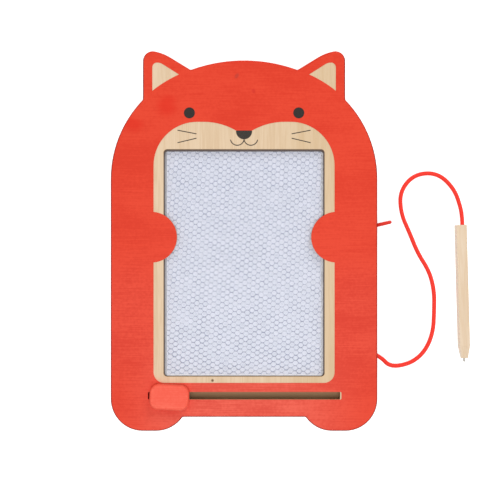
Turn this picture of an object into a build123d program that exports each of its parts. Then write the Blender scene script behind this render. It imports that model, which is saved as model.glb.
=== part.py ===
"""A child's magnetic drawing board with a fox's face, and the pen tied to it.

The board lies on its back. X runs to the right, Y towards the ears and Z up out of the face. The
origin is in the middle of the back face. Lengths are in millimetres and angles in degrees.
"""

from build123d import *

import math
import os

os.makedirs("parts", exist_ok=True)

# Board: four plywood layers of one outline, with paint over the face and the edges
board_width = 250
board_length = 356
back_thickness = 3
core_thickness = 5.5
screen_frame_thickness = 3.5
front_thickness = 4
paint_thickness = 0.25
paint_stop = 1.2
edge_round = 1.5
back_edge_round = 0.8

# Outline: the arch of the head and shoulders as shares of half the width, then feet and ears
head_radius_share = 1.161
shoulder_radius_share = 0.8505
foot_radius = 30
foot_flat = 12.5
belly_rise = 13.1
ear_rise = 8.6
ear_side_share = 0.7588
ear_tip_radius = 9.2
ear_past_top = 11
ear_brow_radius = 45
ear_slope = 31.5
notch_radius = 2
ear_border = 8.9
ear_top_border = 10.8
inner_tip_radius = 4.5
inner_brow_radius = 10
inner_slope = 32.4

# Window, the bare wood round it and the paws that lie over its sides
window_side = 49.5
window_drop = 91.9
window_rise = 50.9
window_corner = 3.5
frame_side = 9.3
frame_foot = 5.8
frame_corner = 10
lobe_radius = 41
lobe_flat = 5.9
lobe_rise = 25.6
cheek_drop = 8.2
paw_radius = 23.7
paw_inset = 38.4
paw_rise_share = 0.613

# Printed face
print_thickness = 0.1
eye_spread = 102.4
eye_radius = 5.15
eye_rise = 33.9
nose_width = 15
nose_depth = 8.2
nose_corner = 0.7
mouth_width = 25.4
mouth_depth = 5.2
mouth_line = 0.85
mouth_gap = 0.4
whisker_line = 0.8
whisker_side_gap = 22.5
whisker_reach = 17.7
upper_whisker_root_rise = 14.3
upper_whisker_tip_rise = 17.7
lower_whisker_root_rise = 10.2
lower_whisker_tip_rise = 6

# Magnetic screen: a stack held between the front panel's lip and the core frame's ledge
screen_lap = 4.5
screen_gap = 0.5
tape_thickness = 0.6
tape_side_show = 1.1
tape_foot_show = 0.5
tape_top_show = 1.9
tape_corner = 2.6
front_sheet_thickness = 0.4
honeycomb_thickness = 2
rim_side = 3.1
rim_foot = 1.7
rim_top = 1.7

# Eraser: a knob on a carriage that slides in the slot and carries a bar under the whole screen
slot_side = 35
slot_width = 7.1
slot_corner = 1
slot_rise = 33.1
slot_bare_end = 1.2
knob_rest_gap = 2.3
knob_length = 37
knob_width = 24
knob_drop = 0.9
knob_turn = 3
knob_height = 7.3
knob_corner = 8.5
knob_round = 2.2
knob_foot_round = 0.6
knob_lift = 0.3
tongue_length = 35
tongue_gap = 0.3
block_width = 13
block_gap = 0.5
block_roof_gap = 0.4
slide_gap = 0.5
arm_width = 11
arm_thickness = 2.6
arm_floor_gap = 0.6
arm_end_gap = 4
cavity_end = 2.4
magnet_width = 8
magnet_thickness = 1.4
felt_width = 10
felt_roof_gap = 0.3
pad_length = 12
pad_width = 8
pad_gap = 0.3
pad_shares = (0.12, 0.5, 0.88)
knob_screw_radius = 1.2
knob_screw_head_radius = 2.3
knob_screw_spread = 20
knob_screw_bite = 4.2
screw_clearance = 0.05

# Back screws: countersunk, with their places in from the side and up from the feet
countersink_angle = 90
back_screw_radius = 1.5
back_screw_head_radius = 3
back_screw_length = 10.6
back_screw_sunk = 0.3
cross_length = 3.4
cross_width = 0.7
cross_depth = 0.7
side_screw_inset = 21
side_screw_rise_shares = (0.37, 0.67)
slot_screw_gap = 14
slot_screw_drop = 4
head_screw_spread = 92
head_screw_rise = 42

# Pen loop: an elastic loop whose two ends are held by a ferrule in one hole in the right side
loop_rise = 192.9
loop_tilt = 13
loop_wire_radius = 1.6
loop_reach = 14.7
loop_bend_radius = 5.7
loop_flare_radius = 3
loop_leg_gap = 0.3
loop_hole_clearance = 0.15
loop_depth = 10
ferrule_length = 4
ferrule_clearance = 0.15

# Pen cord: its exit in the right side, the knot behind it and its hole in the pen
cord_radius = 1.9
cord_exit_rise = 70.3
cord_exit_turn = 30
cord_hole_clearance = 0.25
knot_radius = 2.6
knot_depth = 17
knot_pocket = 8
bend_share = 0.45
cord_first_run = 6.5
cord_straight = 5
cord_floor_gap = 0.05
pen_socket_depth = 10.5
pen_socket_clearance = 0.1
pen_socket_aside = 1.6
pen_socket_up = 0.3

# Pen: square, tapered at the nose, lying beside the board
pen_x = 204.9
pen_y = 15.25
pen_turn = 1.56
pen_side = 10.2
pen_length = 125.8
pen_taper = 11.5
pen_nose = 6.4
pen_edge_round = 0.8
pen_end_round = 0.5
tip_radius = 1
tip_reach = 3.6
tip_round = 0.45
tip_collar_radius = 2
tip_collar_length = 5
pen_magnet_length = 8
pen_bore_clearance = 0.05

# How far a cutting shape runs past what it cuts, and the sine of the least turn taken as a corner
overrun = 2
corner_turn_share = 0.05

# Levels and places worked out from the sizes above
half_width = board_width / 2
foot_y = -board_length / 2
ear_y = board_length / 2
core_z = back_thickness
screen_frame_z = core_z + core_thickness
front_z = screen_frame_z + screen_frame_thickness
top_z = front_z + front_thickness
wood_top_z = top_z - paint_thickness
head_top_y = ear_y - ear_rise
head_radius = head_radius_share * half_width
shoulder_radius = shoulder_radius_share * half_width
head_center_y = head_top_y - head_radius
shoulder_x = half_width - shoulder_radius
shoulder_drop = math.sqrt((head_radius - shoulder_radius) ** 2 - shoulder_x**2)
shoulder_y = head_center_y + shoulder_drop
shoulder_turn = math.degrees(math.atan2(shoulder_drop, shoulder_x))
belly_y = foot_y + belly_rise
sole_y = foot_y + foot_radius
ear_side = ear_side_share * half_width
window_foot_y = foot_y + window_rise
window_top_y = ear_y - window_drop
window_width = board_width - 2 * window_side
window_length = window_top_y - window_foot_y
window_y = (window_foot_y + window_top_y) / 2
lobe_top_y = window_top_y + lobe_rise
paw_x = half_width - paw_inset
paw_y = window_foot_y + paw_rise_share * window_length
slot_y = foot_y + slot_rise
slot_length = board_width - 2 * slot_side
screen_width = window_width + 2 * screen_lap
screen_length = window_length + 2 * screen_lap
front_sheet_z = front_z - tape_thickness - front_sheet_thickness
honeycomb_z = front_sheet_z - honeycomb_thickness
channel_width = block_width + 2 * block_gap
travel_half = slot_length / 2 - tongue_length / 2 - slide_gap
cavity_width = 2 * travel_half + arm_width + 2 * slide_gap
knob_rest = knob_rest_gap - travel_half
cavity_top_y = window_top_y + cavity_end
arm_z = core_z + arm_floor_gap
arm_top_y = cavity_top_y - arm_end_gap
magnet_z = arm_z + arm_thickness
felt_z = magnet_z + magnet_thickness
block_top_z = front_z - block_roof_gap
knob_z = top_z + knob_lift
head_slope = math.tan(math.radians(countersink_angle / 2))


def half_arch_face(inset=0):
    """The right half of the head, body and foot without the ear, drawn in by an inset."""
    inner_x = half_width - foot_radius - foot_flat
    outer_x = half_width - foot_radius
    radius = foot_radius - inset
    inner_angle = 180 + math.degrees(math.asin((sole_y - belly_y - inset) / radius))
    with BuildSketch() as face:
        with BuildLine():
            inner = CenterArc((inner_x, sole_y), radius, inner_angle, 270 - inner_angle)
            Line((0, belly_y + inset), inner @ 0)
            Line(inner @ 1, (outer_x, foot_y + inset))
            CenterArc((outer_x, sole_y), radius, 270, 90)
            Line((half_width - inset, sole_y), (half_width - inset, shoulder_y))
            CenterArc((shoulder_x, shoulder_y), shoulder_radius - inset, 0, shoulder_turn)
            CenterArc((0, head_center_y), head_radius - inset, shoulder_turn, 90 - shoulder_turn)
            Line((0, head_top_y - inset), (0, belly_y + inset))
        make_face()
    return face.sketch


def ear_face(side, top, tip_radius, past_top, brow_radius, slope):
    """The right ear, with its root deep in the head: an upright side, a tip and a sloping brow."""
    tip_turn = 90 + past_top
    tip = Vector(side - tip_radius, top - tip_radius)
    brow_gap = tip_radius - brow_radius
    brow = tip + Vector(math.cos(math.radians(tip_turn)), math.sin(math.radians(tip_turn))) * brow_gap
    with BuildSketch() as face:
        with BuildLine():
            CenterArc(tip, tip_radius, 0, tip_turn)
            bend = CenterArc(brow, brow_radius, tip_turn, 90 + slope - tip_turn)
            brow_end = bend @ 1
            middle_y = brow_end.Y - brow_end.X * math.tan(math.radians(slope))
            Polyline(
                brow_end,
                (0, middle_y),
                (0, shoulder_y),
                (side, shoulder_y),
                (side, top - tip_radius),
            )
        make_face()
    return face.sketch


def sharp_corners(face):
    """The corners right of the middle where the outline of a face turns."""
    corners = []
    for corner in face.vertices():
        first, second = [edge for edge in face.edges() if corner in edge.vertices()]
        turn = first.tangent_at(corner).cross(second.tangent_at(corner))
        if turn.length > corner_turn_share and corner.X > notch_radius:
            corners.append(corner)
    return corners


def board_face(inset=0):
    """The whole outline, drawn in by an inset."""
    ear = ear_face(
        ear_side - inset,
        ear_y - inset,
        ear_tip_radius - inset,
        ear_past_top,
        ear_brow_radius - inset,
        ear_slope,
    )
    with BuildSketch() as face:
        add(half_arch_face(inset))
        add(ear)
        fillet(sharp_corners(face.face()), notch_radius + inset)
        mirror(about=Plane.YZ)
    return face.sketch


def paw_faces():
    """The two discs that the paws are cut from."""
    with BuildSketch() as face:
        with Locations((-paw_x, paw_y), (paw_x, paw_y)):
            Circle(paw_radius)
    return face.sketch


def window_face():
    """The opening over the screen, between the paws."""
    with BuildSketch() as face:
        with Locations((0, window_y)):
            RectangleRounded(window_width, window_length, window_corner)
        add(paw_faces(), mode=Mode.SUBTRACT)
    return face.sketch


def slot_face(extra=0):
    """The eraser's slot, with its right end moved out by extra."""
    with BuildSketch() as face:
        with Locations((extra / 2, slot_y)):
            RectangleRounded(slot_length + extra, slot_width, slot_corner)
    return face.sketch


def muzzle_face():
    """The bare wood of the muzzle and the window's frame, with the window and without the paws."""
    side = window_width / 2 + frame_side
    foot = window_foot_y - frame_foot
    lobe_x = side - lobe_radius
    lobe_y = lobe_top_y - lobe_radius
    flat_x = lobe_x - lobe_flat
    cheek_span = flat_x - nose_width / 2
    cheek_radius = (cheek_span**2 + cheek_drop**2) / (2 * cheek_drop)
    cheek_turn = math.degrees(math.asin(cheek_span / cheek_radius))
    with BuildSketch() as face:
        with BuildLine():
            Line((0, foot), (side - frame_corner, foot))
            CenterArc((side - frame_corner, foot + frame_corner), frame_corner, 270, 90)
            Line((side, foot + frame_corner), (side, lobe_y))
            CenterArc((lobe_x, lobe_y), lobe_radius, 0, 90)
            Line((lobe_x, lobe_top_y), (flat_x, lobe_top_y))
            cheek = CenterArc((flat_x, lobe_top_y - cheek_radius), cheek_radius, 90, cheek_turn)
            Line(cheek @ 1, (0, (cheek @ 1).Y))
            mirror(about=Plane.YZ)
        make_face()
        add(paw_faces(), mode=Mode.SUBTRACT)
    return face.sketch


def inner_ear_faces():
    """The bare wood of both ears, which stops at the line of the head."""
    top = ear_y - ear_top_border
    inner = ear_face(ear_side - ear_border, top, inner_tip_radius, 0, inner_brow_radius, inner_slope)
    with BuildSketch() as face:
        add(inner)
        add(half_arch_face(), mode=Mode.SUBTRACT)
        mirror(about=Plane.YZ)
    return face.sketch


def back_screw_places():
    """The eight screws as x and y: two in the head, two by the slot's ends and two up each side."""
    side_x = half_width - side_screw_inset
    right_side = [
        (head_screw_spread / 2, window_top_y + head_screw_rise),
        (slot_length / 2 + slot_screw_gap, slot_y - slot_screw_drop),
    ]
    right_side += [(side_x, foot_y + share * board_length) for share in side_screw_rise_shares]
    return [(sign * x, y) for x, y in right_side for sign in (-1, 1)]


# The loop and the cord leave the right side at these points and in these directions
loop_z = screen_frame_z - loop_leg_gap
loop_plane = Plane(
    origin=(half_width, foot_y + loop_rise, loop_z),
    x_dir=(math.cos(math.radians(loop_tilt)), math.sin(math.radians(loop_tilt)), 0),
    z_dir=(math.sin(math.radians(loop_tilt)), -math.cos(math.radians(loop_tilt)), 0),
)
leg_offset = loop_wire_radius + loop_leg_gap / 2
loop_hole_radius = leg_offset + loop_wire_radius + loop_hole_clearance
loop_hole_depth = loop_depth + ferrule_length
loop_hole_plane = Plane(
    origin=loop_plane.from_local_coords((-loop_hole_depth, 0, 0)),
    x_dir=(0, 0, 1),
    z_dir=loop_plane.x_dir,
)
cord_y = foot_y + cord_exit_rise
cord_z = core_z + core_thickness / 2
exit_angle = math.radians(cord_exit_turn)
exit_plane = Plane(
    origin=(half_width, cord_y, cord_z),
    x_dir=(math.sin(exit_angle), math.cos(exit_angle), 0),
    z_dir=(math.cos(exit_angle), -math.sin(exit_angle), 0),
)
cord_hole_radius = cord_radius + cord_hole_clearance
knot_reach = knot_depth + knot_pocket / 2
knot_place = exit_plane.from_local_coords((0, 0, -knot_reach))

# The pen's own plane: local Z runs from the cord's end to the nose, and local Y is up
pen_angle = math.radians(pen_turn)
pen_plane = Plane(
    origin=(pen_x, pen_y, pen_side / 2),
    x_dir=(math.cos(pen_angle), math.sin(pen_angle), 0),
    z_dir=(math.sin(pen_angle), -math.cos(pen_angle), 0),
)

# Back panel: closes the board, with countersunk holes for the screws
with BuildPart() as back_panel:
    with BuildSketch():
        add(board_face(paint_thickness))
    extrude(amount=back_thickness)
    fillet(back_panel.faces().sort_by(Axis.Z)[0].edges(), back_edge_round)
    with Locations(*[Location((x, y, 0), (180, 0, 0)) for x, y in back_screw_places()]):
        CounterSinkHole(
            back_screw_radius + screw_clearance,
            back_screw_head_radius + screw_clearance + back_screw_sunk * head_slope,
            counter_sink_angle=countersink_angle,
        )
back_panel.part.label = "back_panel"

# Core frame: room for the eraser's bar and block, the cord's knot and half of the loop's hole
with BuildPart() as core_frame:
    with BuildSketch(Plane.XY.offset(core_z)):
        add(board_face(paint_thickness))
        with Locations((0, (slot_y + cavity_top_y) / 2)):
            Rectangle(cavity_width, cavity_top_y - slot_y, mode=Mode.SUBTRACT)
        with Locations((0, slot_y)):
            Rectangle(slot_length, channel_width, mode=Mode.SUBTRACT)
        with Locations((knot_place.X, knot_place.Y)):
            Rectangle(knot_pocket, knot_pocket, mode=Mode.SUBTRACT)
    extrude(amount=core_thickness)
    with BuildSketch(exit_plane.offset(overrun)):
        Circle(cord_hole_radius)
    extrude(amount=-knot_depth - 2 * overrun, mode=Mode.SUBTRACT)
    with BuildSketch(loop_hole_plane):
        Circle(loop_hole_radius)
    extrude(amount=loop_hole_depth + overrun, mode=Mode.SUBTRACT)
    with Locations(*[(x, y, screen_frame_z) for x, y in back_screw_places()]):
        Hole(back_screw_radius + screw_clearance)
core_frame.part.label = "core_frame"

# Screen frame: an opening that the screen drops into, and the channel for the eraser's block
with BuildPart() as screen_frame:
    with BuildSketch(Plane.XY.offset(screen_frame_z)):
        add(board_face(paint_thickness))
        with Locations((0, window_y)):
            Rectangle(
                screen_width + 2 * screen_gap, screen_length + 2 * screen_gap, mode=Mode.SUBTRACT
            )
        with Locations((0, slot_y)):
            Rectangle(slot_length, channel_width, mode=Mode.SUBTRACT)
    extrude(amount=screen_frame_thickness)
    with BuildSketch(loop_hole_plane):
        Circle(loop_hole_radius)
    extrude(amount=loop_hole_depth + overrun, mode=Mode.SUBTRACT)
    screw_bite = back_screw_sunk + back_screw_length - screen_frame_z + screw_clearance
    with Locations(*[Location((x, y, screen_frame_z), (180, 0, 0)) for x, y in back_screw_places()]):
        Hole(back_screw_radius + screw_clearance, depth=screw_bite)
screen_frame.part.label = "screen_frame"

# Front panel: the bare wood of the face, with the window and the slot
with BuildPart() as front_panel:
    with BuildSketch(Plane.XY.offset(front_z)):
        add(board_face(paint_thickness))
    extrude(amount=front_thickness - paint_thickness)
    fillet(front_panel.faces().sort_by(Axis.Z)[-1].edges(), edge_round - paint_thickness)
    with BuildSketch(Plane.XY.offset(wood_top_z + overrun)):
        add(window_face())
        add(slot_face())
    extrude(amount=-front_thickness - 2 * overrun, mode=Mode.SUBTRACT)
front_panel.part.label = "front_panel"

# The board's solid wood, only to take it out of the paint
with BuildPart() as bare_board:
    with BuildSketch():
        add(board_face(paint_thickness))
    extrude(amount=wood_top_z)
    fillet(bare_board.faces().sort_by(Axis.Z)[-1].edges(), edge_round - paint_thickness)

# Red paint: over the face, round its edge and down the sides, and not on the bare wood
with BuildPart() as red_paint:
    with BuildSketch(Plane.XY.offset(paint_stop)):
        add(board_face())
    extrude(amount=top_z - paint_stop)
    fillet(red_paint.faces().sort_by(Axis.Z)[-1].edges(), edge_round)
    add(bare_board.part, mode=Mode.SUBTRACT)
    with BuildSketch(Plane.XY.offset(top_z + overrun)):
        add(muzzle_face())
        add(window_face())
        add(inner_ear_faces())
        add(slot_face(slot_bare_end))
    extrude(amount=-paint_thickness - overrun - screen_frame_thickness, mode=Mode.SUBTRACT)
    with BuildSketch(exit_plane.offset(overrun)):
        Circle(cord_hole_radius)
    extrude(amount=-2 * overrun, mode=Mode.SUBTRACT)
    with BuildSketch(loop_hole_plane.offset(loop_hole_depth - overrun)):
        Circle(loop_hole_radius)
    extrude(amount=2 * overrun, mode=Mode.SUBTRACT)
red_paint.part.label = "red_paint"

# Eyes: two dots printed on the paint
with BuildPart() as eye_print:
    with BuildSketch(Plane.XY.offset(top_z)):
        with Locations((0, window_top_y + eye_rise)):
            with GridLocations(eye_spread, 0, 2, 1):
                Circle(eye_radius)
    extrude(amount=print_thickness)
eye_print.part.label = "eye_print"

# Nose, mouth and whiskers: printed on the bare wood of the muzzle
nose_y = lobe_top_y - cheek_drop
whisker_tip = window_width / 2 + frame_side - whisker_side_gap
whisker_root = whisker_tip - whisker_reach
mouth_y = nose_y - nose_depth - mouth_gap
with BuildPart() as muzzle_print:
    with BuildSketch(Plane.XY.offset(wood_top_z)):
        with BuildLine():
            ThreePointArc((-nose_width / 2, nose_y), (0, nose_y - nose_depth), (nose_width / 2, nose_y))
            Line((-nose_width / 2, nose_y), (nose_width / 2, nose_y))
        make_face()
        fillet(vertices().group_by(Axis.Y)[-1], nose_corner)
    with BuildSketch(Plane.XY.offset(wood_top_z)):
        with BuildLine():
            corner = (mouth_width / 2, mouth_y)
            ThreePointArc((0, mouth_y), (mouth_width / 4, mouth_y - mouth_depth), corner)
            mirror(about=Plane.YZ)
        trace(line_width=mouth_line)
    with BuildSketch(Plane.XY.offset(wood_top_z)):
        with BuildLine():
            Line(
                (whisker_root, window_top_y + upper_whisker_root_rise),
                (whisker_tip, window_top_y + upper_whisker_tip_rise),
            )
            Line(
                (whisker_root, window_top_y + lower_whisker_root_rise),
                (whisker_tip, window_top_y + lower_whisker_tip_rise),
            )
            mirror(about=Plane.YZ)
        trace(line_width=whisker_line)
    extrude(amount=print_thickness)
muzzle_print.part.label = "muzzle_print"

# Mounting tape: a dark ring that holds the screen to the front panel's lip and shows inside it
with BuildPart() as screen_tape:
    with BuildSketch(Plane.XY.offset(front_z - tape_thickness)):
        with Locations((0, window_y)):
            Rectangle(screen_width, screen_length)
        with Locations((0, window_y + (tape_foot_show - tape_top_show) / 2)):
            RectangleRounded(
                window_width - 2 * tape_side_show,
                window_length - tape_foot_show - tape_top_show,
                tape_corner,
                mode=Mode.SUBTRACT,
            )
    extrude(amount=tape_thickness)
screen_tape.part.label = "screen_tape"

# Clear sheets in front of and behind the honeycomb
with BuildPart() as screen_front_sheet:
    with BuildSketch(Plane.XY.offset(front_sheet_z)):
        with Locations((0, window_y)):
            Rectangle(screen_width, screen_length)
    extrude(amount=front_sheet_thickness)
screen_front_sheet.part.label = "screen_front_sheet"

with BuildPart() as screen_back_sheet:
    with BuildSketch(Plane.XY.offset(screen_frame_z)):
        with Locations((0, window_y)):
            Rectangle(screen_width, screen_length)
    extrude(amount=honeycomb_z - screen_frame_z)
screen_back_sheet.part.label = "screen_back_sheet"

# Honeycomb of small cells that hold the powder, and the sealing rim round it
cells_width = window_width - 2 * rim_side
cells_foot_y = window_foot_y + rim_foot
cells_top_y = window_top_y - rim_top
cells_y = (cells_foot_y + cells_top_y) / 2
with BuildPart() as screen_honeycomb:
    with BuildSketch(Plane.XY.offset(honeycomb_z)):
        with Locations((0, cells_y)):
            Rectangle(cells_width, cells_top_y - cells_foot_y)
    extrude(amount=honeycomb_thickness)
screen_honeycomb.part.label = "screen_honeycomb"

with BuildPart() as screen_rim:
    with BuildSketch(Plane.XY.offset(honeycomb_z)):
        with Locations((0, window_y)):
            Rectangle(screen_width, screen_length)
        with Locations((0, cells_y)):
            Rectangle(cells_width, cells_top_y - cells_foot_y, mode=Mode.SUBTRACT)
    extrude(amount=honeycomb_thickness)
screen_rim.part.label = "screen_rim"

# Eraser carriage: block in the channel, tongue up through the slot and arm under the screen
knob_screw_xs = [knob_rest + sign * knob_screw_spread / 2 for sign in (-1, 1)]
arm_foot_y = slot_y + block_width / 2
with BuildPart() as eraser_carriage:
    with BuildSketch(Plane.XY.offset(arm_z)):
        with Locations((knob_rest, slot_y)):
            Rectangle(tongue_length, block_width)
    extrude(amount=block_top_z - arm_z)
    with BuildSketch(Plane.XY.offset(block_top_z)):
        with Locations((knob_rest, slot_y)):
            Rectangle(tongue_length, slot_width - 2 * tongue_gap)
    extrude(amount=knob_z - block_top_z)
    with BuildSketch(Plane.XY.offset(arm_z)):
        with Locations((knob_rest, (arm_foot_y + arm_top_y) / 2)):
            Rectangle(arm_width, arm_top_y - arm_foot_y)
    extrude(amount=arm_thickness)
    with Locations(*[Location((x, slot_y, arm_z), (180, 0, 0)) for x in knob_screw_xs]):
        CounterSinkHole(
            knob_screw_radius + screw_clearance,
            knob_screw_head_radius + screw_clearance,
            counter_sink_angle=countersink_angle,
        )
eraser_carriage.part.label = "eraser_carriage"

# Magnet strip along the arm, and the felt on it that runs under the screen
with BuildPart() as eraser_magnet:
    with BuildSketch(Plane.XY.offset(magnet_z)):
        with Locations((knob_rest, (cells_foot_y + arm_top_y) / 2)):
            Rectangle(magnet_width, arm_top_y - cells_foot_y)
    extrude(amount=magnet_thickness)
eraser_magnet.part.label = "eraser_magnet"

with BuildPart() as eraser_felt:
    with BuildSketch(Plane.XY.offset(felt_z)):
        with Locations((knob_rest, (cells_foot_y + arm_top_y) / 2)):
            Rectangle(felt_width, arm_top_y - cells_foot_y)
    extrude(amount=screen_frame_z - felt_roof_gap - felt_z)
eraser_felt.part.label = "eraser_felt"

# Glide pads under the arm, which run on the back panel
arm_length = arm_top_y - arm_foot_y
with BuildPart() as eraser_glide_pads:
    with BuildSketch(Plane.XY.offset(core_z + pad_gap)):
        with Locations(*[(knob_rest, arm_foot_y + share * arm_length) for share in pad_shares]):
            Rectangle(pad_width, pad_length)
    extrude(amount=arm_floor_gap - pad_gap)
eraser_glide_pads.part.label = "eraser_glide_pads"

# Knob: a rounded block of painted wood on top of the tongue, fixed a little low and turned
with BuildPart() as eraser_knob:
    with BuildSketch(Plane.XY.offset(knob_z)):
        with Locations((knob_rest, slot_y - knob_drop)):
            RectangleRounded(knob_length, knob_width, knob_corner, rotation=-knob_turn)
    extrude(amount=knob_height)
    fillet(eraser_knob.faces().sort_by(Axis.Z)[-1].edges(), knob_round)
    fillet(eraser_knob.faces().sort_by(Axis.Z)[0].edges(), knob_foot_round)
    with Locations(*[Location((x, slot_y, knob_z), (180, 0, 0)) for x in knob_screw_xs]):
        Hole(knob_screw_radius + screw_clearance, depth=knob_screw_bite)
eraser_knob.part.label = "eraser_knob"

# Two screws that hold the knob, from under the block
with BuildPart() as eraser_screws:
    with Locations(*[(x, slot_y, arm_z) for x in knob_screw_xs]):
        Cone(
            knob_screw_head_radius,
            knob_screw_radius,
            (knob_screw_head_radius - knob_screw_radius) / head_slope,
            align=(Align.CENTER, Align.CENTER, Align.MIN),
        )
        Cylinder(
            knob_screw_radius,
            knob_z - arm_z + knob_screw_bite - screw_clearance,
            align=(Align.CENTER, Align.CENTER, Align.MIN),
        )
eraser_screws.part.label = "eraser_screws"

# Eight countersunk screws with a cross recess, from the back into the screen frame
with BuildPart() as back_screws:
    with Locations(*[(x, y, back_screw_sunk) for x, y in back_screw_places()]):
        Cone(
            back_screw_head_radius,
            back_screw_radius,
            (back_screw_head_radius - back_screw_radius) / head_slope,
            align=(Align.CENTER, Align.CENTER, Align.MIN),
        )
        Cylinder(
            back_screw_radius,
            back_screw_length,
            align=(Align.CENTER, Align.CENTER, Align.MIN),
        )
        Box(
            cross_length,
            cross_width,
            2 * cross_depth,
            mode=Mode.SUBTRACT,
        )
        Box(
            cross_width,
            cross_length,
            2 * cross_depth,
            mode=Mode.SUBTRACT,
        )
back_screws.part.label = "back_screws"

# Pen loop: straight legs in the hole, a flare at the side and a round bend
loop_bend_x = loop_reach - loop_wire_radius - loop_bend_radius
flare_span = math.sqrt(
    (loop_bend_radius + loop_flare_radius) ** 2 - (leg_offset + loop_flare_radius) ** 2
)
flare_x = loop_bend_x - flare_span
flare_share = loop_bend_radius / (loop_bend_radius + loop_flare_radius)
join = (loop_bend_x - flare_span * flare_share, (leg_offset + loop_flare_radius) * flare_share)
with BuildPart() as pen_loop:
    with BuildLine(loop_plane):
        Line((-loop_depth, leg_offset), (flare_x, leg_offset))
        RadiusArc((flare_x, leg_offset), join, -loop_flare_radius)
        ThreePointArc(join, (loop_bend_x + loop_bend_radius, 0), (join[0], -join[1]))
        RadiusArc((join[0], -join[1]), (flare_x, -leg_offset), -loop_flare_radius)
        Line((flare_x, -leg_offset), (-loop_depth, -leg_offset))
    leg_plane = Plane(
        origin=loop_plane.from_local_coords((-loop_depth, leg_offset, 0)), z_dir=loop_plane.x_dir
    )
    with BuildSketch(leg_plane):
        Circle(loop_wire_radius)
    sweep()
pen_loop.part.label = "pen_loop"

# Ferrule at the bottom of the loop's hole, which holds both legs
with BuildPart() as loop_ferrule:
    with BuildSketch(loop_hole_plane):
        Circle(loop_hole_radius - ferrule_clearance)
    extrude(amount=ferrule_length)
loop_ferrule.part.label = "loop_ferrule"

# Cord's board end: the stretch in the hole and the knot in its pocket
neck_x = knot_reach - math.sqrt(knot_radius**2 - cord_radius**2)
knot_end = (knot_reach + knot_radius, 0)
with BuildPart() as cord_board_end:
    with BuildSketch(Plane(origin=exit_plane.origin, x_dir=-exit_plane.z_dir, z_dir=(0, 0, 1))):
        with BuildLine():
            Polyline((neck_x, cord_radius), (0, cord_radius), (0, 0), knot_end)
            ThreePointArc(knot_end, (knot_reach, knot_radius), (neck_x, cord_radius))
        make_face()
    revolve(axis=Axis(exit_plane.origin, exit_plane.z_dir))
cord_board_end.part.label = "cord_board_end"

# Pen body: square stick with rounded edges and a tapered nose
with BuildPart() as pen_body:
    with BuildSketch(pen_plane):
        RectangleRounded(pen_side, pen_side, pen_edge_round)
    extrude(amount=pen_length - pen_taper)
    fillet(pen_body.faces().sort_by(Axis.Y)[-1].edges(), pen_end_round)
    with BuildSketch(pen_plane.offset(pen_length - pen_taper)):
        RectangleRounded(pen_side, pen_side, pen_edge_round)
    with BuildSketch(pen_plane.offset(pen_length)):
        RectangleRounded(pen_nose, pen_nose, pen_edge_round)
    loft()
    with BuildSketch(pen_plane.offset(pen_length + overrun)):
        Circle(tip_collar_radius + pen_bore_clearance)
    extrude(amount=-tip_collar_length - pen_magnet_length - overrun, mode=Mode.SUBTRACT)
    with BuildSketch(pen_plane.offset(-overrun)):
        with Locations((pen_socket_aside, pen_socket_up)):
            Circle(cord_radius + pen_socket_clearance)
    extrude(amount=pen_socket_depth + overrun, mode=Mode.SUBTRACT)
pen_body.part.label = "pen_body"

# Pen tip: a turned collar in the nose with a thin rounded pin
with BuildPart() as pen_tip:
    with BuildSketch(pen_plane.offset(pen_length - tip_collar_length)):
        Circle(tip_collar_radius)
    extrude(amount=tip_collar_length)
    with BuildSketch(pen_plane.offset(pen_length)):
        Circle(tip_radius)
    extrude(amount=tip_reach)
    fillet(pen_tip.faces().sort_by(Axis.Y)[0].edges(), tip_round)
pen_tip.part.label = "pen_tip"

# Magnet behind the tip
with BuildPart() as pen_magnet:
    with BuildSketch(pen_plane.offset(pen_length - tip_collar_length)):
        Circle(tip_collar_radius)
    extrude(amount=-pen_magnet_length)
pen_magnet.part.label = "pen_magnet"

# Cord's pen end: the stretch glued into the pen
with BuildPart() as cord_pen_end:
    with BuildSketch(pen_plane):
        with Locations((pen_socket_aside, pen_socket_up)):
            Circle(cord_radius)
    extrude(amount=pen_socket_depth)
cord_pen_end.part.label = "cord_pen_end"

# Pen cord: out of the side, down to the table and round in one loose loop to the pen's end.
# The points between its two ends are chosen by hand.
cord_start = exit_plane.origin
cord_finish = pen_plane.from_local_coords((pen_socket_aside, pen_socket_up, 0))
lying_z = cord_radius + cord_floor_gap
cord_route = [
    cord_start,
    exit_plane.from_local_coords((0, 0, cord_first_run)),
    (137.0, -117.8, 2.9),
    (147.5, -118.6, lying_z),
    (161.6, -113.5, lying_z),
    (172.6, -102.3, lying_z),
    (179.1, -85.5, lying_z),
    (180.8, -66.5, lying_z),
    (180.4, -47.0, lying_z),
    (175.4, -28.5, lying_z),
    (165.3, -11.5, lying_z),
    (157.3, 7.3, lying_z),
    (148.6, 26.0, lying_z),
    (147.8, 47.3, lying_z),
    (161.2, 63.9, lying_z),
    (183.3, 65.0, lying_z),
    (199.4, 50.0, lying_z),
    (205.6, 31.0, 3.4),
    pen_plane.from_local_coords((pen_socket_aside, pen_socket_up, -cord_straight)),
    cord_finish,
]
corners = [Vector(point) for point in cord_route]
runs = [end - start for start, end in zip(corners, corners[1:])]
bend_radii = []
for before, after in zip(runs, runs[1:]):
    half_turn = math.radians(before.get_angle(after) / 2)
    bend_radii.append(bend_share * min(before.length, after.length) / math.tan(half_turn))
print("cord runs", [round(run.length, 1) for run in runs])
print("cord bend radii", [round(radius, 1) for radius in bend_radii])
with BuildPart() as pen_cord:
    with BuildLine() as cord_path:
        FilletPolyline(*corners, radius=bend_radii)
    with BuildSketch(exit_plane):
        Circle(cord_radius)
    sweep()
cord_length = sum(edge.length for edge in cord_path.edges())
cord_volume = math.pi * cord_radius**2 * cord_length
print("cord length", round(cord_length, 1))
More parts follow.
